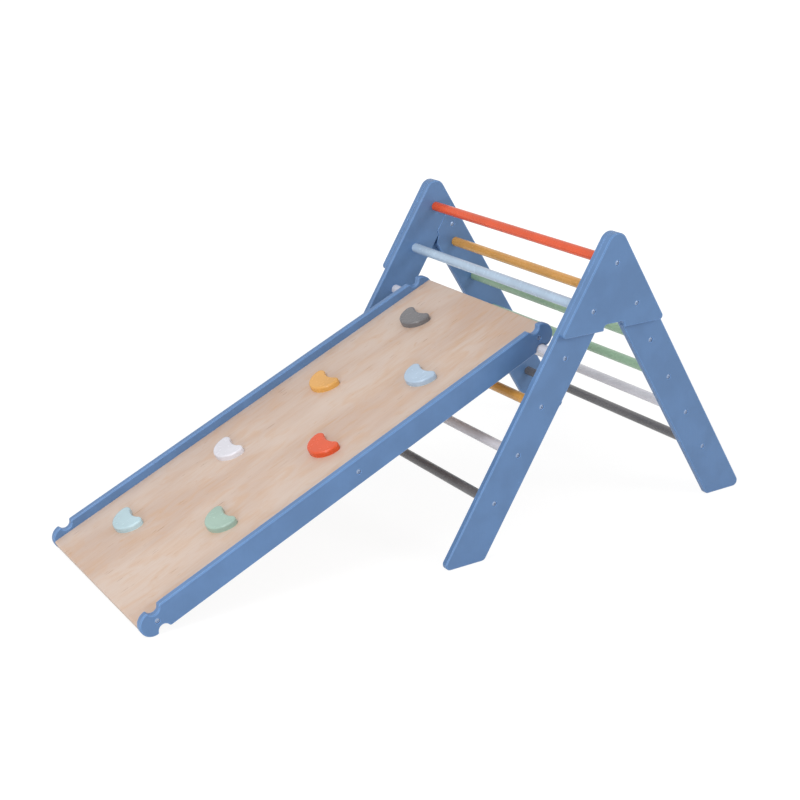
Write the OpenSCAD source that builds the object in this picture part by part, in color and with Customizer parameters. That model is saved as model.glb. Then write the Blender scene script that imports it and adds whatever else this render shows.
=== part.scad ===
/* [Climbing frame] */
// Height of the top rung's axis above the floor
top_rung_h = 590; // [570:1:610]
// Angle of each ladder from the vertical
lean = 31.7; // [31:0.1:32.4]
// Clear width between the inner faces of the side boards
inner_w = 630; // [590:5:680]
// Width of the ladder side boards
leg_w = 90; // [86:1:94]
// Thickness of every side board
board_t = 15; // [14:0.5:18]
// Thickness of the two apex plates
plate_t = 15; // [14:0.5:18]
// Radius of the rounded head over the top rung
head_r = 26; // [20:1:30]
// Radius of the corners of the feet
foot_r = 12; // [6:1:16]
// Width of the bevel that eases the board edges
ease = 2; // [1:0.5:2.5]

/* [Rungs] */
// Diameter of the rungs
rung_d = 22; // [20:0.5:24]
// Distance from one rung axis to the next along a ladder
rung_pitch = 110; // [107:1:112]
// Depth of the blind socket that holds a rung end
socket_depth = 7; // [5:0.5:8]
// Radial clearance of a rung end in its socket
socket_gap = 0.1; // [0.05:0.05:0.2]
// Diameter of the threaded insert in a rung end
insert_d = 8.5; // [8:0.5:10]
// Length of the threaded insert in a rung end
insert_len = 16; // [14:1:20]

/* [Fold joint] */
// Half width of the front board beside the butt joint
butt_half = 36; // [35:0.5:38]
// Gap between the two butted boards
butt_gap = 0.3; // [0.2:0.1:0.6]
// Clearance of the round relief under the butt joint
relief_gap = 0.4; // [0.3:0.1:1]
// Length of the sloped shoulder under the butt joint
shoulder_len = 8; // [6:1:10]
// Side gap between the folding ladder and the apex plates
fold_gap = 0.3; // [0.2:0.1:0.6]
// Diameter of the plain shoulder that the rear ladder turns on
pivot_d = 8; // [7:0.5:9]
// Radial running clearance of the shoulder in the plate
pivot_gap = 0.05; // [0.03:0.01:0.09]
// Distance of the locking bolt from the pivot along the board
lock_up = 42.5; // [38:0.5:46]
// Distance of the locking bolt from the middle of the board
lock_out = 15; // [12:1:20]

/* [Apex plate] */
// Depth of the plate's lower edge under the top rung's axis
plate_drop = 140.5; // [136:0.5:146]
// Radius of the plate's lower corners
plate_corner_r = 8; // [4:1:12]
// Half width of the raised arch in the lower edge
arch_half = 27; // [22:1:32]
// Height of the raised arch
arch_h = 13.5; // [12.5:0.5:18]
// Radius of the arch's upper corners
arch_r = 9; // [5:1:10]

/* [Bolts] */
// Diameter of the bolt shanks
bolt_d = 6; // [5:0.5:6.5]
// Diameter of the bolt heads
bolt_head_d = 10.5; // [10:0.5:12]
// Height of the bolt heads, which sit flush
bolt_head_h = 3.5; // [3:0.5:4]
// Width across the flats of the hexagon socket
hex_af = 4; // [3:0.5:5]
// Depth of the hexagon socket
hex_depth = 2.4; // [1.5:0.1:3]
// Radial clearance of a shank in a plain hole
shank_gap = 0.3; // [0.2:0.1:0.5]
// Radial clearance of a head in its recess
head_gap = 0.3; // [0.2:0.1:0.5]
// Radial clearance of a shank in its thread
thread_gap = 0.05; // [0.03:0.01:0.1]

/* [Ramp] */
// Width over the two rails
ramp_w = 468; // [440:1:490]
// Sideways position of the ramp on its rung, toward the far side
ramp_shift = -18; // [-40:0.5:40]
// Distance between the end bolts of a rail
rail_span = 967; // [940:1:990]
// Height of the rails
rail_h = 54; // [52:1:56]
// Radius of the round rail ends
bulb_r = 26.5; // [26:0.5:28]
// Distance of the round end's centre beyond the end bolt
bulb_out = 10.5; // [9:0.5:12]
// Radius of the half round notches that hook on a rung
notch_r = 12.5; // [12.5:0.1:13]
// Distance of a notch inside the end bolt
notch_in = 3.5; // [2:0.5:5]
// Radius at the mouth of a notch, on the rail side
mouth_r = 7; // [5:0.5:8]
// Radius at the mouth of a notch, on the round end
tip_r = 5; // [4:0.5:5.5]
// Gap between the hook rung and the top of its notch
hook_gap = 0.3; // [0.2:0.1:0.5]
// Thickness of the ramp board
panel_t = 15; // [12:0.5:16]
// Distance that the ramp board stops short of the round ends
panel_short = 1.5; // [1:0.5:4]
// Diameter of the long screws that hold the ramp board
ramp_screw_d = 5; // [4:0.5:6]
// Depth of the long screws in the edge of the ramp board
ramp_screw_in = 38; // [25:1:45]

/* [Holds] */
// Width of a climbing hold
hold_w = 82; // [76:1:92]
// Thickness of a climbing hold
hold_t = 13; // [12:0.5:18]
// Radius of the two horns of a hold
horn_r = 12; // [9:0.5:13]
// Depth of the scooped edge between the horns
scoop = 8; // [5:0.5:9]
// Width of the rounding over a hold's top edge
hold_ease = 4.5; // [3:0.5:6]
// Distance between two holds in one column
hold_pitch = 259; // [250:1:262]
// Distance of the first far hold below the upper end bolt
far_first = 94; // [84:1:100]
// Distance of the first near hold below the upper end bolt
near_first = 228; // [215:1:240]
// Distance of the far column from the middle of the ramp
far_col = 108; // [90:1:120]
// Distance of the near column from the middle of the ramp
near_col = 99; // [90:1:120]
// Diameter of the screws that hold the holds from behind
hold_screw_d = 4; // [3:0.5:4.5]
// Distance between the two screws of a hold
hold_screw_pitch = 36; // [28:1:40]
// Depth of those screws in a hold
hold_screw_in = 9; // [6:0.5:10]
// Height of their heads, which sit flush under the ramp board
hold_head_h = 2.5; // [1.5:0.5:3]

/* [Hidden] */
$fn = 64;

// Paint colours
blue = "#5f83b3";
red = "#f0633f";
light_blue = "#b4cce4";
white = "#dcdbe4";
orange = "#e5a24e";
grey = "#5a595d";
green = "#8ba98a";
sage = "#a3c7b1";
pale_cyan = "#b3d7e3";
birch = "#cfb8a6";
steel = "#b9c0c8";

// Board geometry, with the origin on the top rung's axis
half = leg_w / 2;
sa = sin(lean);
ca = cos(lean);
y_in = inner_w / 2;
y_leg = y_in + board_t;
y_out = y_leg + plate_t;
y_rear = y_leg - fold_gap;
shank_r = bolt_d / 2;
hole_r = shank_r + shank_gap;
recess_r = bolt_head_d / 2 + head_gap;
web = board_t - socket_depth;
lock_insert_len = plate_t - 5;
step = 0.5;
// Rounds are this much fuller than the lines they meet, so the two cross
lap = 0.005;

// A point on the front board: across to the inside, then down along it
function front(n, k) = [n * ca - k * sa, -n * sa - k * ca];
// A point on the rear board: across to the outside, then down along it
function rear(n, k) = [n * ca + k * sa, n * sa - k * ca];

pivot = rear(0, rung_pitch);
pivot_n = rung_pitch * sin(2 * lean);
pivot_k = rung_pitch * cos(2 * lean);
relief_r = pivot_n - half - relief_gap;
lock_pos = rear(lock_out, rung_pitch - lock_up);

// Where a line at distance n inside the front board meets the rear outer edge
function seam_top(n) = front(n, (n * cos(2 * lean) - half) / sin(2 * lean));

// Ramp geometry
half_rail = rail_h / 2;
hook = front(0, 2 * rung_pitch);
hook_drop = half_rail - notch_r + hook_gap + rung_d / 2;
reach = rail_span + bulb_out - notch_in;
fall = hook[1] + top_rung_h - bulb_r;
ramp_angle = asin(fall / norm([reach, hook_drop])) + atan(hook_drop / reach);
sg = sin(ramp_angle);
cg = cos(ramp_angle);
ramp_x = hook[0] + notch_in * cg - hook_drop * sg;
ramp_z = hook[1] + notch_in * sg + hook_drop * cg;
rail_y = ramp_w / 2;
rail_in = rail_y - board_t;

// Middle of the whole object along X, so the origin is under its middle
x_right = (half - foot_r + sa * (top_rung_h - foot_r)) / ca + foot_r;
x_left = ramp_x - (rail_span + bulb_out) * cg - bulb_r;
x_mid = (x_right + x_left) / 2;

// One corner of an outline: two tangent points, centre and turning sense
function unit(v) = v / norm(v);
function corner(a, b, c, r) = let (
    u = unit(a - b),
    v = unit(c - b),
    w = acos(u * v) / 2)
    [b + u * r / tan(w), b + v * r / tan(w), b + unit(u + v) * r / sin(w),
     cross(b - a, c - b) > 0];
function xy(p) = [p[0], p[1]];
function corners(p) = let (n = len(p))
    [for (i = [0 : n - 1]) corner(xy(p[(i + n - 1) % n]), xy(p[i]), xy(p[(i + 1) % n]), p[i][2])];
function turn(v) = atan2(v[1], v[0]);
function sweep(a, b) = (b - a + 720) % 360;

// A flat outline with round corners: each point is [x, y, radius]
module outline(p) {
    c = corners(p);
    difference() {
        union() {
            polygon([for (i = [0 : len(p) - 1]) each (p[i][2] > 0 ? [c[i][0], c[i][1]] : [xy(p[i])])]);
            for (i = [0 : len(p) - 1])
                if (p[i][2] > 0 && c[i][3]) translate(c[i][2]) circle(p[i][2] + lap);
        }
        for (i = [0 : len(p) - 1])
            if (p[i][2] > 0 && !c[i][3]) translate(c[i][2]) circle(p[i][2] + lap);
    }
}

// Section of a 45 degree bevel at the face z: up is 1 for the upper face
function bevel(at, dir, e, z, up) = [[at - dir * (e + step), z + up * step],
    [at + dir * step, z - up * (e + step)], [at + dir * step, z + up * step]];

// Bevel along a straight edge from a to b, with the material on the left
module edge_bevel(a, b, e, z, up) {
    translate([a[0], a[1], 0]) rotate([0, 0, turn(b - a)]) rotate([90, 0, 90])
        linear_extrude(norm(b - a)) polygon(bevel(0, -1, e, z, up));
}

// Bevel around an arc, outside it when dir is 1 and inside it when dir is -1
module arc_bevel(c, r, from, span, dir, e, z, up, over = 0) {
    translate([c[0], c[1], 0]) rotate([0, 0, from - over])
        rotate_extrude(angle = span + 2 * over) polygon(bevel(r + lap, dir, e, z, up));
}

// Bevels for the edges of an outline: each point's fourth value turns on the
// edge that starts there, and its round corner
module bevels(p, e, z, up) {
    c = corners(p);
    n = len(p);
    for (i = [0 : n - 1]) {
        j = (i + 1) % n;
        along = unit(xy(p[j]) - xy(p[i]));
        a = p[i][2] == 0 ? xy(p[i]) - e * along : c[i][3] ? xy(p[i]) : c[i][1];
        b = p[j][2] == 0 ? xy(p[j]) + e * along : c[j][3] ? xy(p[j]) : c[j][0];
        if (p[i][3] > 0) edge_bevel(a, b, e, z, up);
        if (p[i][2] > 0 && p[i][3] > 0 && p[(i + n - 1) % n][3] > 0) {
            f = turn(c[i][0] - c[i][2]);
            g = turn(c[i][1] - c[i][2]);
            if (c[i][3]) arc_bevel(c[i][2], p[i][2], f, sweep(f, g), 1, e, z, up);
            else arc_bevel(c[i][2], p[i][2], g, sweep(g, f), -1, e, z, up, 5);
        }
    }
}

// Places a flat drawing of the X-Z plane as a board whose outer face is at -y
module upright(y) {
    translate([0, -y, 0]) rotate([90, 0, 0]) mirror([0, 0, 1]) children();
}
// Puts a piece at its place above the floor
module stand() {
    translate([-x_mid, 0, top_rung_h]) children();
}
// A cylinder along Y from y0 to y1, at a point of the X-Z plane
module rod(at, y0, y1, r) {
    translate([at[0], y1, at[1]]) rotate([90, 0, 0]) cylinder(h = y1 - y0, r = r);
}

// Outlines of the boards, counter-clockwise: x, z, corner radius, eased or not
front_pts = [
    [each front(-half, (half * sa + top_rung_h) / ca), foot_r, 1],
    [each front(half, (top_rung_h - half * sa) / ca), foot_r, 1],
    [each front(half, pivot_k + 1 + shoulder_len), 2, 0],
    [each front(butt_half, pivot_k + 1), 1.5, 0],
    [each seam_top(butt_half), 0, 1],
    [0, half / sa, head_r, 1]];
nose_n = butt_half + butt_gap;
arc_n = pivot_n - sqrt(pow(relief_r, 2) - pow(shoulder_len, 2)) + 0.4;
arc_k = pivot_k + shoulder_len;
crotch = front(arc_n, (arc_n * cos(2 * lean) + half) / sin(2 * lean));
rear_pts = [
    [each rear(-half, (top_rung_h - half * sa) / ca), foot_r, 1],
    [each rear(half, (half * sa + top_rung_h) / ca), foot_r, 1],
    [each seam_top(nose_n), 0, 0],
    [each front(nose_n, pivot_k), 1.5, 0],
    [each front(arc_n, arc_k), 0, 0],
    [each crotch, 0, 1]];
edge_x = (half + sa * plate_drop) / ca;
plate_pts = [
    [-edge_x, -plate_drop, plate_corner_r, 1],
    [-arch_half, -plate_drop, 3, 1],
    [-arch_half, arch_h - plate_drop, arch_r, 1],
    [arch_half, arch_h - plate_drop, arch_r, 1],
    [arch_half, -plate_drop, 3, 1],
    [edge_x, -plate_drop, plate_corner_r, 1],
    [0, half / sa, head_r, 1]];

// Holes for the rungs at the near side: socket, plain hole and head recess
module rung_holes(at, y_face, y_back, y_head) {
    rod(at, y_back - socket_depth, y_back + step, rung_d / 2 + socket_gap);
    rod(at, y_face - step, y_back, hole_r);
    if (y_head < 0) rod(at, y_face - step, y_face + bolt_head_h, recess_r);
}

module front_leg() {
    color(blue) stand() difference() {
        upright(y_leg) difference() {
            linear_extrude(board_t) outline(front_pts);
            bevels(front_pts, ease, 0, -1);
            bevels(front_pts, ease, board_t, 1);
        }
        for (i = [0 : 1]) rung_holes(front(0, i * rung_pitch), -y_leg, -y_in, 1);
        for (i = [2 : 5]) rung_holes(front(0, i * rung_pitch), -y_leg, -y_in, -1);
    }
}
module front_leg_near() { front_leg(); }
module front_leg_far() { mirror([0, 1, 0]) front_leg(); }

module rear_leg() {
    color(blue) stand() difference() {
        upright(y_rear) difference() {
            linear_extrude(board_t) difference() {
                outline(rear_pts);
                difference() {
                    polygon([pivot, pivot + 2 * (front(arc_n, arc_k) - pivot),
                        pivot + 2 * (crotch - pivot), pivot + 2 * (rear(-half, rung_pitch) - pivot)]);
                    translate(pivot) circle(relief_r, $fn = 96);
                }
            }
            bevels(rear_pts, ease, 0, -1);
            bevels(rear_pts, ease, board_t, 1);
        }
        rung_holes(pivot, -y_rear, board_t - y_rear, 1);
        for (i = [2 : 5]) rung_holes(rear(0, i * rung_pitch), -y_rear, board_t - y_rear, -1);
        rod(lock_pos, -y_rear - step, board_t - y_rear + step, hole_r);
        rod(lock_pos, board_t - y_rear - bolt_head_h, board_t - y_rear + step, recess_r);
    }
}
module rear_leg_near() { rear_leg(); }
module rear_leg_far() { mirror([0, 1, 0]) rear_leg(); }

module apex_plate() {
    color(blue) stand() difference() {
        upright(y_out) difference() {
            linear_extrude(plate_t) outline(plate_pts);
            bevels(plate_pts, ease, 0, -1);
        }
        for (i = [0 : 1]) {
            rod(front(0, i * rung_pitch), -y_out - step, -y_leg + step, hole_r);
            rod(front(0, i * rung_pitch), -y_out - step, -y_out + bolt_head_h, recess_r);
        }
        rod(pivot, -y_out - step, -y_leg + step, pivot_d / 2 + pivot_gap);
        rod(pivot, -y_out - step, -y_out + bolt_head_h, recess_r);
        rod(lock_pos, -y_leg - lock_insert_len, -y_leg + step, insert_d / 2);
    }
}
module apex_plate_near() { apex_plate(); }
module apex_plate_far() { mirror([0, 1, 0]) apex_plate(); }

// A rung between two sockets, bored at both ends for its inserts
module rung(at, y_back, tint) {
    y_end = y_back + socket_depth;
    color(tint) stand() difference() {
        rod(at, -y_end, y_end, rung_d / 2);
        rod(at, -y_end - step, -y_end + insert_len, insert_d / 2);
        rod(at, y_end - insert_len, y_end + step, insert_d / 2);
    }
}
y_rear_in = y_rear - board_t;
module front_rung_1_red() { rung([0, 0], y_in, red); }
module front_rung_2_light_blue() { rung(front(0, rung_pitch), y_in, light_blue); }
module front_rung_3_white() { rung(front(0, 2 * rung_pitch), y_in, white); }
module front_rung_4_orange() { rung(front(0, 3 * rung_pitch), y_in, orange); }
module front_rung_5_white() { rung(front(0, 4 * rung_pitch), y_in, white); }
module front_rung_6_grey() { rung(front(0, 5 * rung_pitch), y_in, grey); }
module rear_rung_1_orange() { rung(pivot, y_rear_in, orange); }
module rear_rung_2_green() { rung(rear(0, 2 * rung_pitch), y_rear_in, green); }
module rear_rung_3_green() { rung(rear(0, 3 * rung_pitch), y_rear_in, green); }
module rear_rung_4_white() { rung(rear(0, 4 * rung_pitch), y_rear_in, white); }
module rear_rung_5_grey() { rung(rear(0, 5 * rung_pitch), y_rear_in, grey); }

// A pair of threaded inserts, one in each end of a rung
module insert_pair(at, y_back) {
    y_end = y_back + socket_depth;
    for (s = [0, 1]) mirror([0, s, 0]) difference() {
        rod(at, -y_end, -y_end + insert_len, insert_d / 2);
        rod(at, -y_end - step, -y_end + insert_len + step, shank_r + thread_gap);
    }
}
module front_rung_inserts() {
    color(steel) stand()
        for (i = [0 : 5]) insert_pair(front(0, i * rung_pitch), y_in);
}
module rear_rung_inserts() {
    color(steel) stand()
        for (i = [1 : 5]) insert_pair(rear(0, i * rung_pitch), y_rear_in);
}
module lock_inserts() {
    color(steel) stand() for (s = [0, 1]) mirror([0, s, 0]) difference() {
        rod(lock_pos, -y_leg - lock_insert_len, -y_leg, insert_d / 2);
        rod(lock_pos, -y_leg - lock_insert_len + 2, -y_leg + step, shank_r + thread_gap);
    }
}

// A flush bolt with a hexagon socket: its head's face is at y, pointing to -Y
module bolt(at, y, length, r) {
    difference() {
        union() {
            rod(at, y, y + bolt_head_h, bolt_head_d / 2);
            rod(at, y + bolt_head_h, y + length, r);
        }
        translate([at[0], y + hex_depth, at[1]]) rotate([90, 0, 0])
            linear_extrude(hex_depth + step)
                polygon([for (i = [0 : 5]) hex_af / sqrt(3) * [cos(60 * i), sin(60 * i)]]);
    }
}
leg_bolt_len = web + insert_len - 2;
module plate_bolts() {
    color(steel) stand() for (s = [0, 1]) mirror([0, s, 0]) for (i = [0 : 1])
        bolt(front(0, i * rung_pitch), -y_out, plate_t + leg_bolt_len, shank_r);
}
module front_leg_bolts() {
    color(steel) stand() for (s = [0, 1]) mirror([0, s, 0]) for (i = [2 : 5])
        bolt(front(0, i * rung_pitch), -y_leg, leg_bolt_len, shank_r);
}
module rear_leg_bolts() {
    color(steel) stand() for (s = [0, 1]) mirror([0, s, 0]) for (i = [2 : 5])
        bolt(rear(0, i * rung_pitch), -y_rear, leg_bolt_len, shank_r);
}
// The pivots: a plain shoulder turns in the plate, and seats on the rear board
module pivot_bolts() {
    color(steel) stand() for (s = [0, 1]) mirror([0, s, 0]) {
        bolt(pivot, -y_out, plate_t + fold_gap, pivot_d / 2);
        rod(pivot, -y_rear, -y_rear + leg_bolt_len, shank_r);
    }
}
// The locking bolts go in from the inside of the rear boards
module lock_bolts() {
    color(steel) stand() for (s = [0, 1]) mirror([0, s, 0])
        translate([0, -2 * y_rear_in, 0]) mirror([0, 1, 0])
            bolt(lock_pos, -y_rear_in, board_t, shank_r);
}

// The ramp: x runs up the ramp from the upper end bolt, z away from its face
module on_ramp() {
    translate([ramp_x, ramp_shift, ramp_z]) rotate([0, -ramp_angle, 0]) children();
}
bulb_c = [bulb_out, 0];
notch_c = [-notch_in, half_rail];
// Centre of the round on the rail side of a notch
mouth_c = [-notch_in - sqrt(pow(notch_r + mouth_r, 2) - pow(mouth_r, 2)), half_rail - mouth_r];
mouth_t = notch_c + unit(mouth_c - notch_c) * notch_r;
// Centre of the round where a notch runs out into the round end
tip_d = norm(notch_c - bulb_c);
tip_a = (pow(bulb_r - tip_r, 2) - pow(notch_r + tip_r, 2) + pow(tip_d, 2)) / (2 * tip_d);
tip_h = sqrt(pow(bulb_r - tip_r, 2) - pow(tip_a, 2));
tip_u = unit(notch_c - bulb_c);
tip_c = bulb_c + tip_a * tip_u + tip_h * [tip_u[1], -tip_u[0]];
tip_t = notch_c + unit(tip_c - notch_c) * notch_r;
tip_b = bulb_c + unit(tip_c - bulb_c) * bulb_r;

// One notch and its rounded mouth, cut from the flat outline of a rail
module notch_cut() {
    translate(notch_c) circle(notch_r);
    difference() {
        polygon([mouth_c, mouth_t, notch_c, [notch_c[0], half_rail + 3], [mouth_c[0], half_rail + 3]]);
        translate(mouth_c) circle(mouth_r + lap);
    }
    difference() {
        polygon([notch_c, tip_t, tip_c, tip_b, [tip_b[0], half_rail + 3], [notch_c[0], half_rail + 3]]);
        translate(tip_c) circle(tip_r + lap);
    }
}
module notch_pair() {
    notch_cut();
    mirror([0, 1, 0]) notch_cut();
}
module rail_outline() {
    difference() {
        union() {
            translate([notch_in - rail_span, -half_rail]) square([rail_span - 2 * notch_in, rail_h]);
            translate(bulb_c) circle(bulb_r, $fn = 96);
            translate([-rail_span - bulb_out, 0]) circle(bulb_r, $fn = 96);
        }
        notch_pair();
        translate([-rail_span, 0]) mirror([1, 0, 0]) notch_pair();
    }
}
// Bevels of a rail's upper end: a round end and its two notches. The small
// rounds at a notch's mouth are eased by the bevels that run out over them
module end_bevels(z, up) {
    arc_bevel(bulb_c, bulb_r - lap, -110, 220, 1, ease, z, up);
    for (s = [-1, 1])
        arc_bevel([notch_c[0], s * notch_c[1]], notch_r - lap, 0, 360, -1, ease, z, up);
}
module rail_bevels(z, up) {
    end_bevels(z, up);
    translate([-rail_span, 0, 0]) mirror([1, 0, 0]) end_bevels(z, up);
    for (s = [0, 1]) mirror([0, s, 0])
        edge_bevel([mouth_c[0] + mouth_r, half_rail], [-rail_span - mouth_c[0] - mouth_r, half_rail],
            ease, z, up);
}
// The near rail, with holes for the three long screws
module rail() {
    difference() {
        upright(rail_y) difference() {
            linear_extrude(board_t) rail_outline();
            rail_bevels(0, -1);
            rail_bevels(board_t, 1);
        }
        for (i = [0 : 2]) {
            rod([-i * rail_span / 2, 0], -rail_y - step, -rail_in + step, ramp_screw_d / 2 + shank_gap);
            rod([-i * rail_span / 2, 0], -rail_y - step, -rail_y + bolt_head_h, recess_r);
        }
    }
}
module ramp_rail_near() { color(blue) stand() on_ramp() rail(); }
module ramp_rail_far() { color(blue) stand() on_ramp() mirror([0, 1, 0]) rail(); }

// Middle of each hold in the ramp's plane, from the top of the ramp to its foot
hold_at = [for (i = [0 : 6]) i % 2 == 0
    ? [-far_first - i / 2 * hold_pitch, far_col]
    : [-near_first - (i - 1) / 2 * hold_pitch, -near_col]];
hold_up = (hold_w / 2 - horn_r) / 2;
screw_x = -2;

// The ramp board, with pilot holes in its edges and plain holes for the holds
module ramp_panel() {
    over = bulb_out + bulb_r - panel_short;
    color(birch) stand() on_ramp() difference() {
        rotate([90, 0, 0]) translate([0, 0, -rail_in]) linear_extrude(2 * rail_in)
            outline([[-rail_span - over, -panel_t / 2, 2], [over, -panel_t / 2, 2],
                [over, panel_t / 2, 4], [-rail_span - over, panel_t / 2, 4]]);
        for (i = [0 : 2]) for (s = [0, 1]) mirror([0, s, 0])
            rod([-i * rail_span / 2, 0], -rail_in - step, -rail_in + ramp_screw_in + 1, ramp_screw_d / 2);
        for (p = hold_at) for (s = [-1, 1])
            translate([p[0] + screw_x, p[1] + s * hold_screw_pitch / 2, -panel_t / 2 - step]) {
                cylinder(h = panel_t + 2 * step, r = hold_screw_d / 2 + shank_gap);
                cylinder(h = step + hold_head_h, r = hold_screw_d + head_gap);
            }
    }
}
module ramp_screws() {
    color(steel) stand() on_ramp() for (s = [0, 1]) mirror([0, s, 0]) for (i = [0 : 2])
        bolt([-i * rail_span / 2, 0], -rail_y, board_t + ramp_screw_in, ramp_screw_d / 2);
}

// A climbing hold: a half disc with two round horns and a scooped upper edge
belly_r = hold_w / 2;
horn_y = belly_r - horn_r;
scoop_r = (pow(horn_y, 2) + pow(horn_r - scoop, 2) - pow(horn_r, 2)) / (2 * scoop);
scoop_y = scoop_r + horn_r - scoop;
horn_a = turn([-horn_y, scoop_y]);
// Where a horn runs into the scoop, and a point above it inside the scoop
horn_t = [horn_y + horn_r * cos(horn_a), horn_r * sin(horn_a)];
scoop_in = horn_t + unit([0, scoop_y] - horn_t) * belly_r;
module hold_outline() {
    difference() {
        circle(belly_r, $fn = 96);
        translate([0, scoop_y]) circle(scoop_r + lap, $fn = 160);
        for (s = [0, 1]) mirror([s, 0, 0]) difference() {
            polygon([[horn_y, 0], [belly_r + 1, 0], [belly_r + 1, scoop_in[1]], scoop_in, horn_t]);
            translate([horn_y, 0]) circle(horn_r + lap);
        }
    }
}
// Section of the rounding over the top edge, in three facets
function crown(at, dir, e, z) = [for (t = [0 : 30 : 90])
    [at - dir * e * (1 - sin(t)), z - e * (1 - cos(t))]];
module crown_cut(c, r, dir) {
    translate([c[0], c[1], 0]) rotate_extrude()
        polygon([each crown(r, dir, hold_ease, hold_t),
            [r + dir * step, hold_t - hold_ease], [r + dir * step, hold_t + step],
            [r - dir * hold_ease, hold_t + step]]);
}
module hold_shape() {
    difference() {
        linear_extrude(hold_t) hold_outline();
        crown_cut([0, 0], belly_r, 1);
        crown_cut([0, scoop_y], scoop_r + lap, -1);
        for (s = [-1, 1]) translate([s * hold_screw_pitch / 2, screw_x - hold_up, -step])
            cylinder(h = hold_screw_in + 1 + step, r = hold_screw_d / 2);
    }
}
module hold(i) {
    stand() on_ramp() translate([hold_at[i][0] + hold_up, hold_at[i][1], panel_t / 2])
        rotate([0, 0, -90]) hold_shape();
}
module hold_1_grey() { color(grey) hold(0); }
module hold_2_light_blue() { color(light_blue) hold(1); }
module hold_3_orange() { color(orange) hold(2); }
module hold_4_red() { color(red) hold(3); }
module hold_5_white() { color(white) hold(4); }
module hold_6_sage() { color(sage) hold(5); }
module hold_7_pale_cyan() { color(pale_cyan) hold(6); }

module hold_screws() {
    color(steel) stand() on_ramp() for (p = hold_at) for (s = [-1, 1])
        translate([p[0] + screw_x, p[1] + s * hold_screw_pitch / 2, -panel_t / 2]) {
            cylinder(h = hold_head_h, r = hold_screw_d);
            cylinder(h = panel_t + hold_screw_in, r = hold_screw_d / 2);
        }
}

front_leg_near();
front_leg_far();
apex_plate_near();
apex_plate_far();
front_rung_1_red();
front_rung_2_light_blue();
front_rung_3_white();
front_rung_4_orange();
front_rung_5_white();
front_rung_6_grey();
front_rung_inserts();
plate_bolts();
front_leg_bolts();
lock_inserts();
rear_leg_near();
rear_leg_far();
rear_rung_1_orange();
rear_rung_2_green();
rear_rung_3_green();
rear_rung_4_white();
rear_rung_5_grey();
rear_rung_inserts();
rear_leg_bolts();
pivot_bolts();
lock_bolts();
ramp_rail_near();
ramp_rail_far();
ramp_panel();
ramp_screws();
hold_1_grey();
hold_2_light_blue();
hold_3_orange();
hold_4_red();
hold_5_white();
hold_6_sage();
hold_7_pale_cyan();
hold_screws();
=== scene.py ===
"""A child's climbing frame with a ramp: its paint, plywood and plated steel, its sculpted
holds and its bolts, and a plain studio with the photograph's camera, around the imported
model. Metres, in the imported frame."""
import math

import bpy
from mathutils import Matrix, Vector


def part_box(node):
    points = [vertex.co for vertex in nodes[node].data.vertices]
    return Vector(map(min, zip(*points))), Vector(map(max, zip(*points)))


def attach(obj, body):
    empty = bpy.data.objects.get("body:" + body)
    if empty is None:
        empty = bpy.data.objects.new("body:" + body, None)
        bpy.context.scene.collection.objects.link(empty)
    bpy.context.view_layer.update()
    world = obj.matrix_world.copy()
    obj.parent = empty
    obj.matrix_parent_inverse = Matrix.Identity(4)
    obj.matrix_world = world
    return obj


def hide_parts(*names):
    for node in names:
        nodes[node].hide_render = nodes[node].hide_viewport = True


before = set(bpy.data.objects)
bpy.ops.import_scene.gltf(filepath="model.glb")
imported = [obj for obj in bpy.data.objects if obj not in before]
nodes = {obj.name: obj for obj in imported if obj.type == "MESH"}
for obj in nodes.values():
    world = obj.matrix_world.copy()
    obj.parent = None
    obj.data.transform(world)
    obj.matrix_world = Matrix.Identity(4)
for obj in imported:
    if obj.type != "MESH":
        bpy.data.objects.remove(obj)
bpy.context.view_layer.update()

MM = 0.001

# Paint colours of the real pieces, as sRGB
PAINTS = {
    "paint_blue": "#5b7eab",
    "paint_red": "#de552a",
    "paint_light_blue": "#aec3d8",
    "paint_white": "#dbdae2",
    "paint_orange": "#daa254",
    "paint_grey": "#706f72",
    "paint_green": "#9abb9e",
    "paint_sage": "#9cb6a9",
    "paint_pale_cyan": "#b1cad2",
}
VENEER_PALE = "#cebbae"
VENEER_PINK = "#c3ab9c"
VENEER_WARM = "#c19a77"
FLECK = "#9a7458"
PLY_DARK = "#b08d70"
GLUE_LINE = "#86644a"
ZINC_BLUE = "#96a6bf"

WHITE = "#ffffff"

# Roughness of the lacquer where it is least: flat boards are duller than rungs and holds
BOARD_ROUGH = 0.4
ROUND_ROUGH = 0.26
# How far small dull places are above that
WEAR_ROUGH = 0.06
# Strength of the relief in the lacquer
BOARD_RELIEF = 0.35
ROUND_RELIEF = 0.04
# Radius that the shading gives to painted edges, which also sets the width of their painted
# highlight, and to the plywood's
PAINT_EDGE = 2.2 * MM
PLY_EDGE = 1.2 * MM
# A Wave texture's scale that gives lines 5.9 mm apart
VENEER_SCALE = 53.0532
# One light and one dark ply, with their glue lines
PLY_PAIR = 2.8 * MM

# The holds' scoop and rounding, and the flat that runs on inside the rounding
SCOOP = 8 * MM
HOLD_EASE = 4.2 * MM
HOLD_LEDGE = 0.6 * MM
# The bolts' button heads
HEAD_D = 10.4 * MM
HEAD_H = 3.4 * MM
HEAD_RIM = 2.3 * MM
HEAD_SINK = 0.1 * MM
HEX_W = 4 * MM
HEX_DEPTH = 1.6 * MM
# Points nearer than this are one point
WELD = 0.02 * MM
# Edges that turn by more than this, in radians, stay sharp
HOLD_CREASE = 1.2
BOLT_CREASE = 0.6
SOCKET_SEED = 7

# The studio
FLOOR_HALF = 30.0
FLOOR_GREY = 0.86
FLOOR_GLOW = 1.12
# How much of the floor is plain white to the camera, near the object and far off
NEAR_SHARE, FAR_SHARE = 0.8, 1.0
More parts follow.
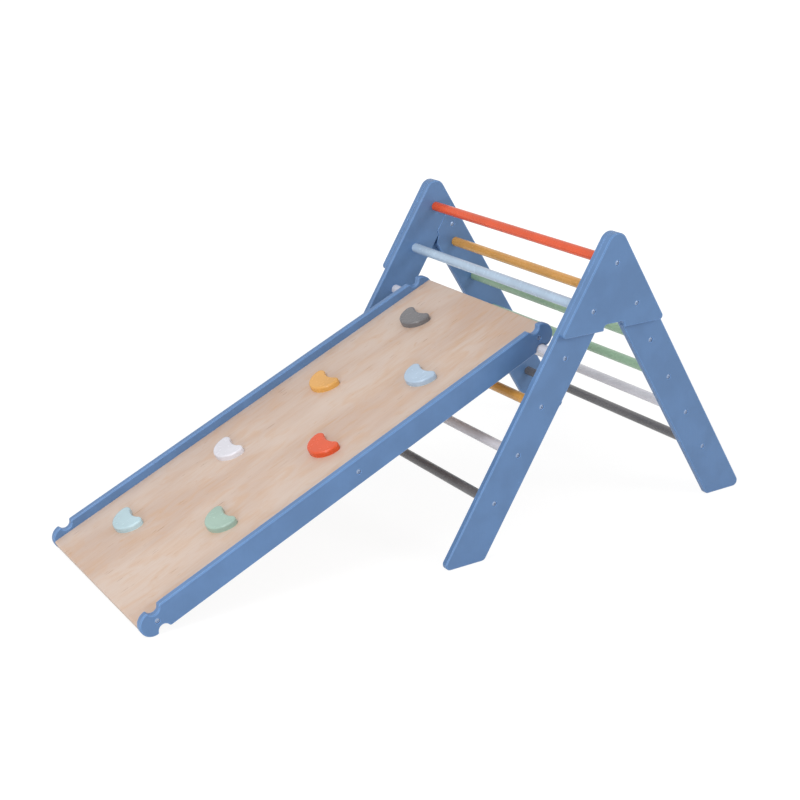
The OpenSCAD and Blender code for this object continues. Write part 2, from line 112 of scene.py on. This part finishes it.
# Where near ends and far starts, in metres from the object's middle
NEAR_END, FAR_START = 0.9, 2.4
ROOM_LIGHT = 0.58
LAMP_AIM = (0, 0, 0.3)
# The sensor and lens in millimetres, the place in metres, the turn in degrees
CAMERA_SENSOR = 36
CAMERA_LENS = 65.2454
CAMERA_PLACE = (-1.594252, -2.521886, 1.325846)
CAMERA_TURN = (70.2534, 0.4221, -32.6199)


def linear(code, gain=1.0):
    """The linear colour of an sRGB hex value, made lighter or darker, with full alpha."""
    parts = (int(code[i:i + 2], 16) / 255 for i in (1, 3, 5))
    parts = (v / 12.92 if v <= 0.04045 else ((v + 0.055) / 1.055) ** 2.4 for v in parts)
    return [min(1.0, gain * v) for v in parts] + [1.0]


def add(tree, kind, inputs=None, out=0, **settings):
    """Adds a node with its settings and its inputs: a socket or a list of sockets is linked,
    a value is set. Returns the output asked for."""
    node = tree.nodes.new(kind)
    for name, value in settings.items():
        setattr(node, name, value)
    for key, value in (inputs or {}).items():
        sockets = value if isinstance(value, list) else [value]
        if isinstance(sockets[0], bpy.types.NodeSocket):
            for socket in sockets:
                tree.links.new(socket, node.inputs[key])
        else:
            node.inputs[key].default_value = value
    return node.outputs[out] if node.outputs else node


def blank(name):
    """A new material with an empty tree."""
    material = bpy.data.materials.new(name)
    material.use_nodes = True
    material.node_tree.nodes.clear()
    return material, material.node_tree


def near_edge(tree, rounded):
    """How near an edge the surface is, from 0 to 1: how far its normal, rounded over the
    edges, turns away from the flat one."""
    flat = add(tree, "ShaderNodeNewGeometry", out="Normal")
    along = add(tree, "ShaderNodeVectorMath", {0: rounded, 1: flat}, "Value",
                operation="DOT_PRODUCT")
    return add(tree, "ShaderNodeMapRange", {0: along, 1: 0.999, 2: 0.95},
               interpolation_type="SMOOTHSTEP")


def pattern(tree, where, per_metre, low, high, top=1.0, detail=2.0, warp=0.0):
    """A soft pattern that repeats so many times a metre along each axis, taken from its own
    low and high levels to 0 and to its top share."""
    where = add(tree, "ShaderNodeMapping", {"Vector": where, "Scale": per_metre})
    raw = add(tree, "ShaderNodeTexNoise", {"Vector": where, "Scale": 1.0, "Detail": detail,
                                           "Distortion": warp})
    return add(tree, "ShaderNodeMapRange", {0: raw, 1: low, 2: high, 4: top},
               interpolation_type="SMOOTHSTEP")


def layered(tree, body, layers):
    """A colour with other colours laid over it, each by its own share."""
    for share, colour in layers:
        body = add(tree, "ShaderNodeMix", {0: share, 6: body, 7: colour}, 2, data_type="RGBA")
    return body


def sprayed_paint(name, code, is_board):
    """Satin water-based lacquer, sprayed in two coats on sanded birch. The eye sees one even
    colour, a faint orange peel, the grain just telling through, and a paler line along each
    edge, partly a thinner coat and partly a painted highlight. The grain runs up the boards,
    and along Y in the rungs."""
    material, tree = blank(name)
    where = add(tree, "ShaderNodeTexCoord", out="Object")
    # Cloudiness of the coat, about 70 mm across
    cloud = pattern(tree, where, (14, 14, 14), 0.35, 0.65, detail=3)
    # Grain that tells through the coat: 1.6 mm lines, 80 mm long
    per_metre = [620, 620, 620]
    per_metre[2 if is_board else 1] = 12
    grain = pattern(tree, where, per_metre, 0.25, 0.75)
    # Orange peel, 1.6 mm from crest to crest
    peel = pattern(tree, where, (620, 620, 620), 0.2, 0.8, detail=1)
    # Thumb wear: small dull places, 9 mm across
    worn = pattern(tree, where, (110, 110, 110), 0.55, 0.75, detail=3)
    # Paler along each edge, by how far the rounded shading turns: partly a thinner coat, partly a
    # painted highlight
    rounded = add(tree, "ShaderNodeBevel", {"Radius": PAINT_EDGE}, samples=8)
    thin_coat_and_highlight = add(tree, "ShaderNodeMath", {0: near_edge(tree, rounded), 1: 0.8},
              operation="MULTIPLY")
    body = layered(tree, linear(code, 0.94), [
        (cloud, linear(code, 1.05)),
        (add(tree, "ShaderNodeMath", {0: grain, 1: 0.06}, operation="MULTIPLY"),
         linear(code, 0.6)),
        (thin_coat_and_highlight, linear(code, 1.9))])
    height = add(tree, "ShaderNodeMath", {0: grain, 1: 0.5, 2: peel}, operation="MULTIPLY_ADD")
    if is_board:
        # Veneers tell through on the boards' edges, as lines across Y. The real ones are
        # 1.4 mm thick, and too fine to show, so the lines are drawn 5.9 mm apart
        veneers = add(tree, "ShaderNodeTexWave", {"Vector": where, "Scale": VENEER_SCALE},
                      wave_type="BANDS", bands_direction="Y")
        height = add(tree, "ShaderNodeMath", {0: veneers, 1: 0.5, 2: height},
                     operation="MULTIPLY_ADD")
    relief = BOARD_RELIEF if is_board else ROUND_RELIEF
    bump = add(tree, "ShaderNodeBump", {"Height": height, "Strength": relief,
                                        "Distance": 0.04 * MM, "Normal": rounded})
    least = BOARD_ROUGH if is_board else ROUND_ROUGH
    rough = add(tree, "ShaderNodeMapRange", {0: worn, 3: least, 4: least + WEAR_ROUGH})
    shader = add(tree, "ShaderNodeBsdfPrincipled", {"Base Color": body, "Roughness": rough,
                                                    "IOR": 1.49, "Normal": bump})
    add(tree, "ShaderNodeOutputMaterial", {"Surface": shader})
    return material


def birch_plywood(name, origin, pitch):
    """Rotary-cut birch plywood under clear water lacquer. The eye sees pale pink-brown with
    soft warm streaks along the board, fine fibres, a few dark flecks, and the plies' end
    grain as light and dark lines round its edges."""
    material, tree = blank(name)
    where = add(tree, "ShaderNodeTexCoord", out="Object")
    # Along the board is X, across it Y, out of its face Z
    board = add(tree, "ShaderNodeMapping", {"Vector": where, "Location": origin,
                                            "Rotation": (0, -pitch, 0)}, vector_type="TEXTURE")
    # Broad change of tone through the sheet, 330 mm by 125 mm
    tone = pattern(tree, board, (3, 8, 1), 0.35, 0.65, detail=2, warp=0.5)
    # Mottle, 80 mm by 35 mm, its borders wandering
    mottle = pattern(tree, board, (12, 29, 1), 0.42, 0.72, 0.4, detail=4, warp=1.2)
    # Streaks, 12 mm wide and 110 mm long, in places only
    place = pattern(tree, board, (3, 9, 1), 0.42, 0.6, detail=1)
    streak = pattern(tree, board, (9, 85, 1), 0.5, 0.75, 0.5, detail=3, warp=1.4)
    streak = add(tree, "ShaderNodeMath", {0: streak, 1: place}, operation="MULTIPLY")
    # Fibres, 2.2 mm wide and 60 mm long, and paler ones, 5 mm wide and 110 mm long
    fibre = pattern(tree, board, (16, 450, 20), 0.45, 0.8, 0.34, detail=3)
    pale = pattern(tree, board, (9, 190, 20), 0.5, 0.8, 0.3, detail=2)
    # Warm blotches where the knife met a swelling, 26 mm by 14 mm
    blotch = pattern(tree, board, (38, 70, 1), 0.66, 0.78, 0.4, detail=2, warp=0.5)
    # Flecks: short dark bark lines, few and far apart, at the peaks of a pattern of 42 mm by
    # 3 mm
    fleck = pattern(tree, board, (24, 340, 20), 0.79, 0.84, 0.75, detail=0)
    face = layered(tree, linear(VENEER_PALE), [
        (tone, linear(VENEER_PINK)), (mottle, linear(VENEER_WARM, 1.08)),
        (streak, linear(VENEER_WARM)), (fibre, linear(VENEER_WARM)),
        (pale, linear(VENEER_PALE)), (blotch, linear(VENEER_WARM)), (fleck, linear(FLECK))])
    # Plies 1.4 mm thick show on the edges: long grain pale, end grain dark, a glue line
    # between them. The share runs from 0 to 1 through one pair of plies
    depth = add(tree, "ShaderNodeSeparateXYZ", {0: board}, "Z")
    ply = add(tree, "ShaderNodeMath", {0: depth, 1: 1 / PLY_PAIR}, operation="MULTIPLY")
    ply = add(tree, "ShaderNodeMath", {0: ply, 1: 1.0}, operation="FLOORED_MODULO")
    off = add(tree, "ShaderNodeMath", {0: ply, 1: 0.5}, operation="SUBTRACT")
    off = add(tree, "ShaderNodeMath", {0: off}, operation="ABSOLUTE")
    dark = add(tree, "ShaderNodeMapRange", {0: off, 1: 0.28, 2: 0.22, 4: 0.8})
    glue = add(tree, "ShaderNodeMath", {0: off, 1: 0.25, 2: 0.04}, operation="COMPARE")
    edges = layered(tree, linear(VENEER_PALE), [
        (dark, linear(PLY_DARK)), (fibre, linear(VENEER_WARM)), (glue, linear(GLUE_LINE))])
    looks = add(tree, "ShaderNodeTexCoord", out="Normal")
    out = (-math.sin(pitch), 0, math.cos(pitch))
    flat = add(tree, "ShaderNodeVectorMath", {0: looks, 1: out}, "Value",
               operation="DOT_PRODUCT")
    flat = add(tree, "ShaderNodeMath", {0: flat}, operation="ABSOLUTE")
    on_face = add(tree, "ShaderNodeMapRange", {0: flat, 1: 0.25, 2: 0.55})
    body = layered(tree, edges, [(on_face, face)])
    rounded = add(tree, "ShaderNodeBevel", {"Radius": PLY_EDGE}, samples=8)
    bump = add(tree, "ShaderNodeBump", {"Height": fibre, "Strength": 0.3,
                                        "Distance": 0.05 * MM, "Normal": rounded})
    rough = add(tree, "ShaderNodeMapRange", {0: fibre, 2: 0.42, 3: 0.42, 4: 0.52})
    shader = add(tree, "ShaderNodeBsdfPrincipled", {"Base Color": body, "Roughness": rough,
                                                    "IOR": 1.47, "Normal": bump})
    add(tree, "ShaderNodeOutputMaterial", {"Surface": shader})
    return material


def zinc_plate(name):
    """Blue-passivated zinc plate on cold-headed steel. The eye sees a dull pale blue metal,
    clouded by handling."""
    material, tree = blank(name)
    where = add(tree, "ShaderNodeTexCoord", out="Object")
    # Bloom of the plating, 1.1 mm across, and rubbed places 4 mm across
    bloom = pattern(tree, where, (900, 900, 900), 0.3, 0.7)
    rubbed = pattern(tree, where, (250, 250, 250), 0.4, 0.6)
    body = layered(tree, linear(ZINC_BLUE, 0.9), [(bloom, linear(ZINC_BLUE, 1.1))])
    bump = add(tree, "ShaderNodeBump", {"Height": bloom, "Strength": 0.2, "Distance": 0.01 * MM})
    rough = add(tree, "ShaderNodeMapRange", {0: rubbed, 3: 0.36, 4: 0.5})
    shader = add(tree, "ShaderNodeBsdfPrincipled", {"Base Color": body, "Metallic": 1.0,
                                                    "Roughness": rough, "Normal": bump})
    add(tree, "ShaderNodeOutputMaterial", {"Surface": shader})
    return material


def ramp_pose():
    """The ramp board's middle and its slope, from the largest face that looks up."""
    mesh = nodes["ramp_panel"].data
    top = max((p for p in mesh.polygons if p.normal.z > 0), key=lambda p: p.area)
    low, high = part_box("ramp_panel")
    return (low + high) / 2, math.atan2(-top.normal.x, top.normal.z)


def grower(name, sizes):
    """An empty Geometry Nodes tree with a named input for each size, and its inputs."""
    tree = bpy.data.node_groups.new(name, "GeometryNodeTree")
    tree.is_modifier = True
    tree.interface.new_socket("Geometry", in_out="OUTPUT", socket_type="NodeSocketGeometry")
    tree.interface.new_socket("Geometry", in_out="INPUT", socket_type="NodeSocketGeometry")
    for size, kind in sizes.items():
        tree.interface.new_socket(size, in_out="INPUT", socket_type="NodeSocket" + kind)
    return tree, tree.nodes.new("NodeGroupInput").outputs


def finished(tree, shape, sharp, material):
    """Ends a tree: smooth faces with creases where the shape turns sharply, one mesh, one
    material."""
    turn = add(tree, "GeometryNodeInputMeshEdgeAngle")
    crease = add(tree, "FunctionNodeCompare", {"A": turn, "B": sharp}, operation="GREATER_THAN")
    shape = add(tree, "GeometryNodeRealizeInstances", {0: shape})
    shape = add(tree, "GeometryNodeSetShadeSmooth", {0: shape, 2: True}, domain="FACE")
    shape = add(tree, "GeometryNodeSetShadeSmooth", {0: shape, 1: crease, 2: False},
                domain="EDGE")
    shape = add(tree, "GeometryNodeSetMaterial", {0: shape, "Material": material})
    add(tree, "NodeGroupOutput", {0: shape})


def hold_tree():
    """A climbing hold: a half-disc belly, a round horn at each end and a scoop between them,
    four arcs that touch. A rounded profile runs round the outline. It is drawn flat, and then
    turned to its place on the ramp."""
    tree, given = grower("climbing_hold", {
        "Belly radius": "Float", "Horn radius": "Float", "Scoop depth": "Float",
        "Thickness": "Float", "Edge radius": "Float", "Middle": "Vector", "Slope": "Float",
        "Paint": "Material"})
    belly, horn, scoop = (given[n] for n in ("Belly radius", "Horn radius", "Scoop depth"))
    thick, ease = given["Thickness"], given["Edge radius"]
    # The scoop's arc touches both horns: its radius and middle, and the angle where they meet
    horn_x = add(tree, "ShaderNodeMath", {0: belly, 1: horn}, operation="SUBTRACT")
    left_x = add(tree, "ShaderNodeMath", {0: horn, 1: belly}, operation="SUBTRACT")
    rise = add(tree, "ShaderNodeMath", {0: horn, 1: scoop}, operation="SUBTRACT")
    x_square = add(tree, "ShaderNodeMath", {0: horn_x, 1: horn_x}, operation="MULTIPLY")
    horn_square = add(tree, "ShaderNodeMath", {0: horn, 1: horn}, operation="MULTIPLY")
    total = add(tree, "ShaderNodeMath", {0: rise, 1: rise, 2: x_square}, operation="MULTIPLY_ADD")
    total = add(tree, "ShaderNodeMath", {0: total, 1: horn_square}, operation="SUBTRACT")
    twice = add(tree, "ShaderNodeMath", {0: scoop, 1: 2.0}, operation="MULTIPLY")
    scoop_r = add(tree, "ShaderNodeMath", {0: total, 1: twice}, operation="DIVIDE")
    scoop_y = add(tree, "ShaderNodeMath", {0: scoop_r, 1: rise}, operation="ADD")
    meet = add(tree, "ShaderNodeMath", {0: scoop_y, 1: left_x}, operation="ARCTAN2")
    back = add(tree, "ShaderNodeMath", {0: meet, 1: math.pi}, operation="SUBTRACT")
    across = add(tree, "ShaderNodeMath", {0: meet, 1: -2.0, 2: math.pi}, operation="MULTIPLY_ADD")
    left = add(tree, "ShaderNodeMath", {0: math.pi, 1: meet}, operation="SUBTRACT")
    arcs = []
    for radius, x, y, start, sweep, points in (
            (belly, 0.0, 0.0, math.pi, math.pi, 73), (horn, horn_x, 0.0, 0.0, meet, 25),
            (scoop_r, 0.0, scoop_y, back, across, 33), (horn, left_x, 0.0, left, meet, 25)):
        arc = add(tree, "GeometryNodeCurveArc", {
            "Resolution": points, "Radius": radius, "Start Angle": start,
            "Sweep Angle": sweep}, mode="RADIUS")
        place = add(tree, "ShaderNodeCombineXYZ", {0: x, 1: y})
        arcs.append(add(tree, "GeometryNodeTransform", {0: arc, "Translation": place}))
    loop = add(tree, "GeometryNodeJoinGeometry", {0: arcs})
    loop = add(tree, "GeometryNodeCurveToMesh", {0: loop})
    loop = add(tree, "GeometryNodeMergeByDistance", {0: loop, "Distance": WELD})
    loop = add(tree, "GeometryNodeMeshToCurve", {0: loop})
    loop = add(tree, "GeometryNodeSetCurveNormal", {0: loop}, mode="Z_UP")
    # The profile: an upright wall, a quarter round, and a narrow flat. Its Y points down
    wall = add(tree, "ShaderNodeMath", {0: ease, 1: thick}, operation="SUBTRACT")
    down = add(tree, "ShaderNodeMath", {0: thick, 1: -1.0}, operation="MULTIPLY")
    inward = add(tree, "ShaderNodeMath", {0: ease, 1: -1.0}, operation="MULTIPLY")
    flat = add(tree, "ShaderNodeMath", {0: inward, 1: HOLD_LEDGE}, operation="SUBTRACT")
    corner = add(tree, "ShaderNodeCombineXYZ", {1: wall})
    upright = add(tree, "GeometryNodeCurvePrimitiveLine", {"Start": (0, 0, 0), "End": corner})
    turn = add(tree, "GeometryNodeCurveArc", {"Resolution": 9, "Radius": ease,
               "Start Angle": 0.0, "Sweep Angle": -math.pi / 2}, mode="RADIUS")
    turn_at = add(tree, "ShaderNodeCombineXYZ", {0: inward, 1: wall})
    turn = add(tree, "GeometryNodeTransform", {0: turn, "Translation": turn_at})
    top_from = add(tree, "ShaderNodeCombineXYZ", {0: inward, 1: down})
    top_to = add(tree, "ShaderNodeCombineXYZ", {0: flat, 1: down})
    ledge = add(tree, "GeometryNodeCurvePrimitiveLine", {"Start": top_from, "End": top_to})
    profile = add(tree, "GeometryNodeJoinGeometry", {0: [upright, turn, ledge]})
    skin = add(tree, "GeometryNodeCurveToMesh", {"Curve": loop, "Profile Curve": profile})
    skin = add(tree, "GeometryNodeFlipFaces", {0: skin})
    # The top and the base fill the outline, the top drawn in by the profile's width
    outward = add(tree, "GeometryNodeInputNormal")
    inset = add(tree, "ShaderNodeVectorMath", {0: outward, "Scale": flat}, operation="SCALE")
    top = add(tree, "GeometryNodeSetPosition", {0: loop, "Offset": inset})
    top = add(tree, "GeometryNodeFillCurve", {0: top}, mode="NGONS")
    lift = add(tree, "ShaderNodeCombineXYZ", {2: thick})
    top = add(tree, "GeometryNodeTransform", {0: top, "Translation": lift})
    base = add(tree, "GeometryNodeFillCurve", {0: loop}, mode="NGONS")
    base = add(tree, "GeometryNodeFlipFaces", {0: base})
    shape = add(tree, "GeometryNodeJoinGeometry", {0: [skin, top, base]})
    shape = add(tree, "GeometryNodeMergeByDistance", {0: shape, "Distance": WELD})
    # The scoop faces up the ramp
    shape = add(tree, "GeometryNodeTransform", {0: shape, "Rotation": (0, 0, -math.pi / 2)})
    tilt = add(tree, "ShaderNodeMath", {0: given["Slope"], 1: -1.0}, operation="MULTIPLY")
    tilt = add(tree, "ShaderNodeCombineXYZ", {1: tilt})
    shape = add(tree, "GeometryNodeTransform", {0: shape, "Translation": given["Middle"],
                                                "Rotation": tilt})
    finished(tree, shape, HOLD_CREASE, given["Paint"])
    return tree


def bolt_tree():
    """Button-head socket bolts. Each stands on a point that says which way its head looks and
    how thick and long its shank is, and its socket is turned by chance."""
    tree, given = grower("button_head_bolts", {
        "Head diameter": "Float", "Head height": "Float", "Rim height": "Float",
        "Hexagon width": "Float", "Socket depth": "Float", "Finish": "Material"})
    high = given["Head height"]
    radius = add(tree, "ShaderNodeMath", {0: given["Head diameter"], 1: 0.5},
                 operation="MULTIPLY")
    # A ball's cap on a short rim
    cap = add(tree, "ShaderNodeMath", {0: high, 1: given["Rim height"]}, operation="SUBTRACT")
    square = add(tree, "ShaderNodeMath", {0: radius, 1: radius}, operation="MULTIPLY")
    square = add(tree, "ShaderNodeMath", {0: cap, 1: cap, 2: square}, operation="MULTIPLY_ADD")
    twice = add(tree, "ShaderNodeMath", {0: cap, 1: 2.0}, operation="MULTIPLY")
    ball_r = add(tree, "ShaderNodeMath", {0: square, 1: twice}, operation="DIVIDE")
    parts = []
    for kind, sizes, drop, share in (
            ("GeometryNodeMeshUVSphere", {"Segments": 48, "Rings": 32, "Radius": ball_r},
             ball_r, -1.0),
            ("GeometryNodeMeshCylinder", {"Vertices": 48, "Radius": radius, "Depth": high},
             high, -0.5)):
        shape = add(tree, kind, sizes)
        place = add(tree, "ShaderNodeMath", {0: drop, 1: share}, operation="MULTIPLY")
        place = add(tree, "ShaderNodeCombineXYZ", {2: place})
        parts.append(add(tree, "GeometryNodeTransform", {0: shape, "Translation": place}))
    head = add(tree, "GeometryNodeMeshBoolean", {1: parts}, operation="INTERSECT")
    corner = add(tree, "ShaderNodeMath", {0: given["Hexagon width"], 1: 1 / math.sqrt(3)},
                 operation="MULTIPLY")
    deep = add(tree, "ShaderNodeMath", {0: given["Socket depth"], 1: 2.0}, operation="MULTIPLY")
    socket = add(tree, "GeometryNodeMeshCylinder", {"Vertices": 6, "Radius": corner,
                                                    "Depth": deep})
    head = add(tree, "GeometryNodeMeshBoolean", {0: head, 1: socket}, operation="DIFFERENCE")
    shank = add(tree, "GeometryNodeMeshCylinder", {"Vertices": 24, "Radius": 1.0, "Depth": 1.0})
    shank = add(tree, "GeometryNodeTransform", {0: shank, "Translation": (0, 0, -0.5)})
    looks = add(tree, "GeometryNodeInputNamedAttribute", {0: "looks"}, data_type="FLOAT_VECTOR")
    size = add(tree, "GeometryNodeInputNamedAttribute", {0: "shank"}, data_type="FLOAT_VECTOR")
    aim = add(tree, "FunctionNodeAlignRotationToVector", {"Vector": looks}, axis="Z")
    chance = add(tree, "FunctionNodeRandomValue",
                 {2: 0.0, 3: math.pi / 3, "Seed": SOCKET_SEED}, 1, data_type="FLOAT")
    spin = add(tree, "FunctionNodeAxisAngleToRotation", {"Axis": (0, 0, 1), "Angle": chance})
    aim = add(tree, "FunctionNodeRotateRotation", {0: aim, 1: spin}, rotation_space="LOCAL")
    heads = add(tree, "GeometryNodeInstanceOnPoints", {
        "Points": given["Geometry"], "Instance": head, "Rotation": aim})
    back = add(tree, "ShaderNodeMath", {0: high, 1: -1.0}, operation="MULTIPLY")
    under = add(tree, "ShaderNodeVectorMath", {0: looks, "Scale": back}, operation="SCALE")
    seats = add(tree, "GeometryNodeSetPosition", {0: given["Geometry"], "Offset": under})
    shanks = add(tree, "GeometryNodeInstanceOnPoints", {
        "Points": seats, "Instance": shank, "Rotation": aim, "Scale": size})
    shape = add(tree, "GeometryNodeJoinGeometry", {0: [heads, shanks]})
    finished(tree, shape, BOLT_CREASE, given["Finish"])
    return tree


def grown(name, tree, points, values, finish, marks=None):
    """The plain mesh that a tree makes from points, named values and a material, as an object
    at the origin."""
    mesh = bpy.data.meshes.new(name)
    mesh.from_pydata(points, [], [])
    for mark, vectors in (marks or {}).items():
        layer = mesh.attributes.new(mark, "FLOAT_VECTOR", "POINT")
        layer.data.foreach_set("vector", [v for vector in vectors for v in vector])
    piece = bpy.data.objects.new(name, mesh)
    bpy.context.scene.collection.objects.link(piece)
    modifier = piece.modifiers.new(tree.name, "NODES")
    modifier.node_group = tree
    for item in tree.interface.items_tree:
        if item.in_out == "INPUT" and item.name in values:
            modifier[item.identifier] = values[item.name]
        elif item.socket_type == "NodeSocketMaterial":
            modifier[item.identifier] = finish
    graph = bpy.context.evaluated_depsgraph_get()
    made = bpy.data.meshes.new_from_object(piece.evaluated_get(graph), depsgraph=graph)
    piece.modifiers.clear()
    made.materials.clear()
    made.materials.append(finish)
    made.polygons.foreach_set("material_index", [0] * len(made.polygons))
    piece.data = made
    return piece


def solids(node):
    """The points of each separate solid in a CAD node."""
    mesh = nodes[node].data
    places = {}
    group = [places.setdefault(tuple(round(c, 6) for c in v.co), i)
             for i, v in enumerate(mesh.vertices)]
    for face in mesh.polygons:
        roots = []
        for i in face.vertices:
            while group[i] != i:
                i = group[i]
            roots.append(i)
        for i in roots:
            group[i] = min(roots)
    found = {}
    for i, v in enumerate(mesh.vertices):
        while group[i] != i:
            i = group[i]
        found.setdefault(i, []).append(v.co.copy())
    return list(found.values())


def box_of(points):
    """The lowest and highest corners of some points."""
    return (Vector([min(p[i] for p in points) for i in range(3)]),
            Vector([max(p[i] for p in points) for i in range(3)]))


def bolts(name, body, *cad_nodes):
    """Bolts in place of a body's CAD bolts, which all lie along Y: a head is where the bolt
    is thickest, and the shank's thickness is that of its far end."""
    heads, looks, shanks = [], [], []
    for points in (p for node in cad_nodes for p in solids(node)):
        low, high = box_of(points)
        middle = (low + high) / 2
        reach = [math.hypot(p.x - middle.x, p.z - middle.z) for p in points]
        wide = [p.y for p, r in zip(points, reach) if r > 0.95 * max(reach)]
        side = 1 if sum(wide) / len(wide) > middle.y else -1
        tail = max(r for p, r in zip(points, reach)
                   if (p.y - middle.y) * side < -0.49 * (high.y - low.y))
        heads.append((middle.x, (high.y if side > 0 else low.y) - side * HEAD_SINK, middle.z))
        looks.append((0, side, 0))
        shanks.append((tail, tail, high.y - low.y - HEAD_H - HEAD_SINK))
    piece = grown(name, bolt_shape, heads, {
        "Head diameter": HEAD_D, "Head height": HEAD_H, "Rim height": HEAD_RIM,
        "Hexagon width": HEX_W, "Socket depth": HEX_DEPTH,
    }, finishes["zinc_steel"], {"looks": looks, "shank": shanks})
    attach(piece, body)
    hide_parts(*cad_nodes)


def hold(node, paint):
    """A sculpted hold in place of a CAD hold, its sizes read from the CAD hold in the ramp's
    own axes: X up the ramp, Y across it, Z out of it."""
    turn = Matrix.Rotation(slope, 3, "Y")
    low, high = box_of([turn @ v.co for v in nodes[node].data.vertices])
    belly = (high.y - low.y) / 2
    middle = turn.inverted() @ Vector((low.x + belly, (low.y + high.y) / 2, low.z))
    piece = grown(node + "_sculpted", hold_shape, [(0, 0, 0)], {
        "Belly radius": belly, "Horn radius": high.x - low.x - belly, "Scoop depth": SCOOP,
        "Thickness": high.z - low.z, "Edge radius": HOLD_EASE, "Middle": tuple(middle),
        "Slope": slope}, finishes[paint])
    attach(piece, "ramp")
    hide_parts(node)


panel_mid, slope = ramp_pose()
finishes = {slot: sprayed_paint(slot.replace("paint_", "") + "_satin_lacquer", code,
                                is_board=slot == "paint_blue")
            for slot, code in PAINTS.items()}
finishes["birch_plywood"] = birch_plywood("lacquered_birch_plywood", panel_mid, slope)
finishes["zinc_steel"] = zinc_plate("blue_passivated_zinc")

slots = {name: node.data.materials[0].name.split(".")[0] for name, node in nodes.items()}
for name, node in nodes.items():
    for i, material in enumerate(node.data.materials):
        node.data.materials[i] = finishes[material.name.split(".")[0]]

hold_shape = hold_tree()
bolt_shape = bolt_tree()
for name in sorted(nodes):
    if name.startswith("hold_") and slots[name].startswith("paint_"):
        hold(name, slots[name])
bolts("front_frame_bolts", "front_frame", "plate_bolts", "front_leg_bolts")
bolts("rear_ladder_bolts", "rear_ladder", "rear_leg_bolts", "pivot_bolts", "lock_bolts")
bolts("ramp_bolts", "ramp", "ramp_screws")


# The studio: a pale floor that keeps a faint shadow, a white world, soft lamps
def looked_at(tree):
    """1 where the camera looks, straight, in a gloss or through glass, and 0 where light is
    gathered."""
    seen = add(tree, "ShaderNodeLightPath", out="Is Camera Ray")
    for ray in ("Is Glossy Ray", "Is Transmission Ray"):
        other = add(tree, "ShaderNodeLightPath", out=ray)
        seen = add(tree, "ShaderNodeMath", {0: seen, 1: other}, operation="MAXIMUM")
    return seen


def studio_floor():
    """A wide pale floor, white to the camera, which still shows the frame's shadow."""
    half = FLOOR_HALF
    mesh = bpy.data.meshes.new("floor")
    mesh.from_pydata([(-half, -half, 0), (half, -half, 0), (half, half, 0), (-half, half, 0)],
                     [], [(0, 1, 2, 3)])
    floor = bpy.data.objects.new("floor", mesh)
    bpy.context.scene.collection.objects.link(floor)
    material, tree = blank("pale_studio_floor")
    seen = looked_at(tree)
    # Near the object the lit floor shows a little through the white, and the shadow with it
    where = add(tree, "ShaderNodeTexCoord", out="Object")
    away = add(tree, "ShaderNodeVectorMath", {0: where}, "Value", operation="LENGTH")
    bare = add(tree, "ShaderNodeMapRange",
               {0: away, 1: NEAR_END, 2: FAR_START, 3: NEAR_SHARE, 4: FAR_SHARE},
               interpolation_type="SMOOTHSTEP")
    share = add(tree, "ShaderNodeMath", {0: seen, 1: bare}, operation="MULTIPLY")
    matt = add(tree, "ShaderNodeBsdfDiffuse", {"Color": linear(WHITE, FLOOR_GREY)})
    white = add(tree, "ShaderNodeEmission", {"Color": linear(WHITE), "Strength": FLOOR_GLOW})
    both = add(tree, "ShaderNodeMixShader", {0: share, 1: matt, 2: white})
    add(tree, "ShaderNodeOutputMaterial", {"Surface": both})
    mesh.materials.append(material)


def white_world(level):
    """A white room: plain level light on the object, pure white to the camera."""
    world = bpy.data.worlds.new("white_room")
    bpy.context.scene.world = world
    world.use_nodes = True
    tree = world.node_tree
    tree.nodes.clear()
    seen = looked_at(tree)
    strength = add(tree, "ShaderNodeMapRange", {0: seen, 3: level, 4: 1.0})
    room = add(tree, "ShaderNodeBackground", {"Color": linear(WHITE), "Strength": strength})
    add(tree, "ShaderNodeOutputWorld", {"Surface": room})


def soft_lamp(name, place, size, watts):
    """A square softbox that looks at the object."""
    data = bpy.data.lights.new(name, "AREA")
    data.shape = "SQUARE"
    data.size = size
    data.energy = watts
    lamp = bpy.data.objects.new(name, data)
    bpy.context.scene.collection.objects.link(lamp)
    lamp.location = place
    aim = Vector(LAMP_AIM) - Vector(place)
    lamp.rotation_euler = aim.to_track_quat("-Z", "Y").to_euler()


def photo_camera():
    """The photograph's camera, solved from the frame's own corners and screws."""
    data = bpy.data.cameras.new("camera")
    data.sensor_width = CAMERA_SENSOR
    data.lens = CAMERA_LENS
    camera = bpy.data.objects.new("camera", data)
    bpy.context.scene.collection.objects.link(camera)
    camera.location = CAMERA_PLACE
    camera.rotation_euler = [math.radians(a) for a in CAMERA_TURN]
    bpy.context.scene.camera = camera


studio_floor()
white_world(ROOM_LIGHT)
soft_lamp("key_front_right", (2.2, -3.0, 2.2), 1.2, 34)
soft_lamp("top_left", (-1.6, -0.4, 1.9), 1.2, 22.5)
soft_lamp("front_left_low", (-2.5, -2.5, 0.33), 0.6, 24)
photo_camera()
bpy.context.scene.view_settings.view_transform = "Standard"
